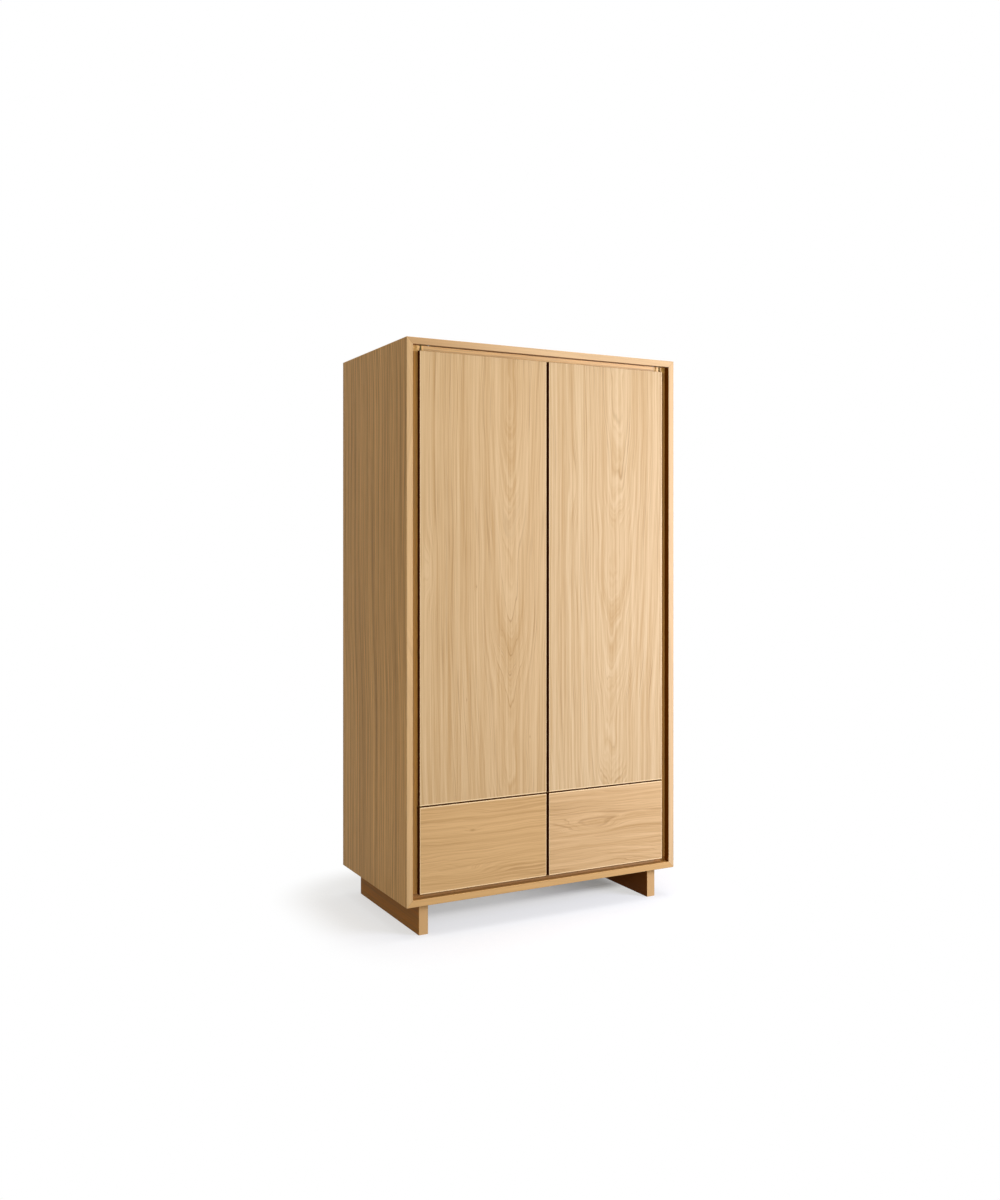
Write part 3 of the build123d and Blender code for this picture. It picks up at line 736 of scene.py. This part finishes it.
def screw_places():
    """Each set of screws: its name, body, head and places."""
    panel_low, panel_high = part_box("back_panel")
    columns = [panel_low.x + BACK_INSET, panel_high.x - BACK_INSET]
    rows = [panel_low.z + BACK_INSET, panel_high.z - BACK_INSET]
    back = [(x, z) for x in columns for z in BACK_ROWS]
    back += [(x, z) for x in BACK_COLUMNS for z in rows]
    back = [((x, panel_high.y, z), (0, 1, 0)) for x, z in back]
    sets = [("back_panel_screws", "cabinet", WOOD_HEAD, back)]
    rail_low, rail_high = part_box("hanging_rail")
    rail_y, rail_z = (rail_low.y + rail_high.y) / 2, (rail_low.z + rail_high.z) / 2
    flange = []
    for side in (-1, 1):
        for turn in (90, 210, 330):
            angle = math.radians(turn)
            out = Vector((0, math.cos(angle), math.sin(angle))) * SOCKET_CIRCLE
            centre = Vector((side * rail_high.x, rail_y, rail_z)) + out
            flange.append((centre, (-side, 0, 0)))
    sets.append(("rail_socket_screws", "cabinet", FLANGE_HEAD, flange))
    foot_x = (low("right_foot").x + high("right_foot").x) / 2
    top = low("right_inner_stile").z
    feet = [((side * foot_x, y, top), (0, 0, 1)) for side in (-1, 1) for y in FOOT_ROWS]
    sets.append(("foot_screws", "cabinet", FOOT_HEAD, feet))
    plate_low, plate_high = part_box("upper_pivot_plates")
    plate_x, plate_y = plate_high.x - PLATE_INSET, (plate_low.y + plate_high.y) / 2
    ceiling = high("right_inner_stile").z
    plates = [((side * plate_x, plate_y, ceiling), (0, 0, -1)) for side in (-1, 1)]
    leg_x = (low("right_door_bushes").x + high("right_door_bushes").x) / 2
    leg_y = low("top_inner_rail").y
    legs = [((side * leg_x, leg_y, z), (0, -1, 0)) for side in (-1, 1) for z in LEG_ROWS]
    sets.append(("pivot_screws", "cabinet", PIVOT_HEAD, plates + legs))
    for side in ("left", "right"):
        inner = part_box(f"{side}_drawer_inner_front")
        middle = (inner[0].x + inner[1].x) / 2
        front = [
            ((middle + across, inner[1].y, z), (0, 1, 0))
            for across in (-FRONT_ACROSS, FRONT_ACROSS)
            for z in (inner[0].z + FRONT_INSET, inner[1].z - FRONT_INSET)
        ]
        sets.append((f"{side}_drawer_front_screws", f"{side}_drawer", FRONT_HEAD, front))
        fixed_low, fixed_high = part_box(f"{side}_cabinet_runners")
        moving_low = low(f"{side}_drawer_runners")
        runner_z = (fixed_low.z + fixed_high.z) / 2
        inwards = ((fixed_low.x + RUNNER_SHEET, 1), (fixed_high.x - RUNNER_SHEET, -1))
        fixed = [
            ((x, fixed_low.y + along, runner_z), (way, 0, 0))
            for x, way in inwards
            for along in CABINET_RUNNER_ROWS
        ]
        reach = RUNNER_THICKNESS - RUNNER_SHEET
        outwards = ((fixed_low.x + reach, -1), (fixed_high.x - reach, 1))
        moving = [
            ((x, moving_low.y + along, runner_z), (way, 0, 0))
            for x, way in outwards
            for along in DRAWER_RUNNER_ROWS
        ]
        sets.append((f"{side}_cabinet_runner_screws", "cabinet", WOOD_HEAD, fixed))
        sets.append((f"{side}_drawer_runner_screws", f"{side}_drawer", WOOD_HEAD, moving))
    return sets


class OBJECT_OT_armoire_screws(bpy.types.Operator):
    """Model the screw heads"""

    bl_idname = "armoire.screws"
    bl_label = "Screws"

    def execute(self, context):
        steel = brushed_metal("screw_zinc", context.scene.armoire_fittings.steel_colour, 0.34, "x")
        for name, body, head, places in screw_places():
            mesh = bmesh.new()
            for centre, towards in places:
                screw_head(mesh, facing(centre, towards), *head)
            new_piece(name, mesh, steel, body)
        return {"FINISHED"}


def separate_boxes(node):
    """The lowest and highest corner of each solid in a CAD node."""
    mesh = bmesh.new()
    mesh.from_mesh(nodes[node].data)
    bmesh.ops.remove_doubles(mesh, verts=mesh.verts, dist=1e-6)
    boxes, seen = [], set()
    for start in mesh.verts:
        if start in seen:
            continue
        island, waiting = [], [start]
        seen.add(start)
        while waiting:
            vert = waiting.pop()
            island.append(vert.co.copy())
            for edge in vert.link_edges:
                other = edge.other_vert(vert)
                if other not in seen:
                    seen.add(other)
                    waiting.append(other)
        boxes.append(
            (
                Vector([min(place[axis] for place in island) for axis in range(3)]),
                Vector([max(place[axis] for place in island) for axis in range(3)]),
            )
        )
    mesh.free()
    return boxes


# Ball cage: shares of its race's width and height
STRIP_HEIGHT = 0.3
RIB_OFFSET, RIB_WIDTH, RIB_HEIGHT = 0.41, 0.18, 0.62


class OBJECT_OT_armoire_ball_cages(bpy.types.Operator):
    """Model the ball cages of the drawer runners, with their balls"""

    bl_idname = "armoire.ball_cages"
    bl_label = "Ball Cages"

    def execute(self, context):
        fittings = context.scene.armoire_fittings
        plastic = moulded_plastic("ball_cage_plastic", fittings.cage_colour)
        steel = brushed_metal("ball_steel", fittings.chrome_colour, 0.18, "y")
        for side in ("left", "right"):
            cages, balls = bmesh.new(), bmesh.new()
            for lowest, highest in separate_boxes(f"{side}_runner_cages"):
                self.cage(cages, lowest, highest)
                self.balls(balls, lowest, highest, fittings)
            body = f"{side}_runner_slides"
            cage = new_piece(f"{side}_ball_cages", cages, plastic, body)
            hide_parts(f"{side}_runner_cages")
            new_piece(f"{side}_runner_balls", balls, steel, body)
        return {"FINISHED"}

    def cage(self, mesh, lowest, highest):
        """A flat strip at the middle height of its race, with a raised rib along each edge."""
        middle, size = (lowest + highest) / 2, highest - lowest
        strip = Vector((size.x, size.y, size.z * STRIP_HEIGHT))
        rib = Vector((size.x * RIB_WIDTH, size.y, size.z * RIB_HEIGHT))
        aside = Vector((size.x * RIB_OFFSET, 0, 0))
        for centre, scale in ((middle, strip), (middle - aside, rib), (middle + aside, rib)):
            bmesh.ops.create_cube(mesh, size=1, matrix=Matrix.LocRotScale(centre, None, scale))

    def balls(self, mesh, lowest, highest, fittings):
        middle = (lowest + highest) / 2
        count = int((highest.y - lowest.y - fittings.ball_pitch) / fittings.ball_pitch) + 1
        start = middle.y - (count - 1) * fittings.ball_pitch / 2
        for number in range(count):
            centre = Vector((middle.x, start + number * fittings.ball_pitch, middle.z))
            radius, place = fittings.ball_diameter / 2, Matrix.Translation(centre)
            bmesh.ops.create_icosphere(mesh, subdivisions=2, radius=radius, matrix=place)


# ---- Studio ----

LAMP_AIM = Vector((0, 0, 1.1))
FLOOR_RADIUS = 60
# The floor is white but for a soft shadow, given in metres and in shares of white
SHADOW_CORE = (0.4, 0.22)  # half its width and half its depth
SHADOW_RIM = (0.22, 0.46)  # how far past the core it starts and ends to fade
SHADOW_LIGHT = 0.59  # white left in it
DEEP_FRONT = (-0.14, -0.05)  # where the deeper shadow under the case starts
DEEP_RIM = 0.12  # how far past the core it fades
DEEP_SPAN = (-0.1, 0.4)  # from left to right it grows from the lesser to the full depth
DEEP_LEFT, DEEP_GAIN = 0.18, 0.2
CAMERA_PLACE = (-2.078, -3.866)  # across and along the floor
CAMERA_TURN = -27.87  # degrees from straight ahead
CAMERA_SHIFT = -0.0397  # of the picture's height, so that uprights stay upright


class OBJECT_OT_armoire_studio(bpy.types.Operator):
    """Set up the floor, the lamps and the camera"""

    bl_idname = "armoire.studio"
    bl_label = "Studio"

    def execute(self, context):
        studio = context.scene.armoire_studio
        scene = context.scene
        scene.view_settings.view_transform = "Standard"
        self.floor(scene)
        self.world(scene, studio)
        lamps = (
            ("key_lamp", (2.4, -2.6, 1.4), 1.4, studio.key_power, (0.95, 1.01, 1.36)),
            ("front_lamp", (-2.2, -5.0, 1.5), 2.4, studio.front_power, (1.0, 0.94, 0.64)),
            ("top_lamp", (0.4, -0.5, 5.0), 3.0, studio.top_power, (1.0, 1.0, 1.0)),
        )
        for name, place, size, power, colour in lamps:
            lamp = bpy.data.lights.new(name, "AREA")
            lamp.shape = "SQUARE"
            lamp.size = size
            lamp.energy = power
            lamp.color = colour
            holder = bpy.data.objects.new(name, lamp)
            holder.location = place
            aim = LAMP_AIM - holder.location
            holder.rotation_euler = aim.to_track_quat("-Z", "Y").to_euler()
            scene.collection.objects.link(holder)
        camera = bpy.data.cameras.new("camera")
        camera.lens = studio.focal_length
        camera.shift_y = CAMERA_SHIFT
        holder = bpy.data.objects.new("camera", camera)
        holder.location = (*CAMERA_PLACE, studio.camera_height)
        holder.rotation_euler = (math.radians(90), 0, math.radians(CAMERA_TURN))
        scene.collection.objects.link(holder)
        scene.camera = holder
        return {"FINISHED"}

    def floor(self, scene):
        mesh = bmesh.new()
        bmesh.ops.create_circle(mesh, cap_ends=True, segments=96, radius=FLOOR_RADIUS)
        data = bpy.data.meshes.new("floor")
        mesh.to_mesh(data)
        mesh.free()
        floor = bpy.data.objects.new("floor", data)
        scene.collection.objects.link(floor)
        finish = new_finish("studio_floor")
        sides = sides_of(finish)
        x, y = sides["x"], sides["y"]
        out_x = x.math("MAXIMUM", x.math("ABSOLUTE", x) - SHADOW_CORE[0], 0.0)
        out_y = y.math("MAXIMUM", y.math("ABSOLUTE", y) - SHADOW_CORE[1], 0.0)
        out = (out_x * out_x + out_y * out_y) ** 0.5
        deep = finish.ramp(y, *DEEP_FRONT) * (1.0 - finish.ramp(out, 0.0, DEEP_RIM))
        deep = deep * (finish.ramp(x, *DEEP_SPAN) * DEEP_GAIN + DEEP_LEFT)
        white = finish.ramp(out, *SHADOW_RIM) * (1 - SHADOW_LIGHT) + SHADOW_LIGHT - deep
        path = finish.node("ShaderNodeLightPath", output="Is Camera Ray")
        seen = path + path.also("Is Glossy Ray") + path.also("Is Transmission Ray")
        bright = finish.mix(path, (0.15, 0.15, 0.15), (0.9, 0.9, 0.9))
        paint = finish.node("ShaderNodeBsdfDiffuse", values={"Color": bright})
        glow = finish.node("ShaderNodeEmission", values={"Color": (1.0, 1.0, 1.0), "Strength": 1.0})
        share = x.math("MINIMUM", seen, 1.0) * white
        surface = finish.node("ShaderNodeMixShader", values={0: share, 1: paint, 2: glow})
        finish.node("ShaderNodeOutputMaterial", values={"Surface": surface})
        data.materials.append(finish.holder)

    def world(self, scene, studio):
        scene.world = bpy.data.worlds.new("studio_world")
        finish = Finish(scene.world)
        path = finish.node("ShaderNodeLightPath", output="Is Camera Ray")
        seen = path + path.also("Is Glossy Ray") + path.also("Is Transmission Ray")
        values = {"Color": (1.0, 0.985, 0.96), "Strength": studio.sky}
        sky = finish.node("ShaderNodeBackground", values=values)
        white = finish.node("ShaderNodeBackground", values={"Color": (1.0, 1.0, 1.0), "Strength": 1.0})
        share = path.math("MINIMUM", seen, 1.0)
        surface = finish.node("ShaderNodeMixShader", values={0: share, 1: sky, 2: white})
        finish.node("ShaderNodeOutputWorld", values={"Surface": surface})


# ---- Add-on ----

OPERATORS = (
    OBJECT_OT_armoire_case_wood,
    OBJECT_OT_armoire_front_wood,
    OBJECT_OT_armoire_frame_wood,
    OBJECT_OT_armoire_inside_wood,
    OBJECT_OT_armoire_fittings,
    OBJECT_OT_armoire_ball_cages,
    OBJECT_OT_armoire_screws,
    OBJECT_OT_armoire_studio,
)


class VIEW3D_PT_armoire(bpy.types.Panel):
    """The armoire's settings and steps"""

    bl_idname = "VIEW3D_PT_armoire"
    bl_label = "Armoire"
    bl_space_type = "VIEW_3D"
    bl_region_type = "UI"
    bl_category = "Armoire"

    def draw(self, context):
        for group in ("armoire_wood", "armoire_fittings", "armoire_studio"):
            settings = getattr(context.scene, group)
            box = self.layout.box()
            for name in settings.__annotations__:
                box.prop(settings, name)
        for operator in OPERATORS:
            self.layout.operator(operator.bl_idname)


SETTINGS = {
    "armoire_wood": WoodSettings,
    "armoire_fittings": FittingSettings,
    "armoire_studio": StudioSettings,
}


def register():
    for group in (*SETTINGS.values(), *OPERATORS, VIEW3D_PT_armoire):
        bpy.utils.register_class(group)
    for name, group in SETTINGS.items():
        setattr(bpy.types.Scene, name, PointerProperty(type=group))


def unregister():
    for name in SETTINGS:
        delattr(bpy.types.Scene, name)
    for group in (VIEW3D_PT_armoire, *reversed(OPERATORS), *reversed(SETTINGS.values())):
        bpy.utils.unregister_class(group)


def main():
    register()
    for operator in OPERATORS:
        step = operator.bl_idname.split(".")[1]
        getattr(bpy.ops.armoire, step)()


if __name__ == "__main__":
    main()
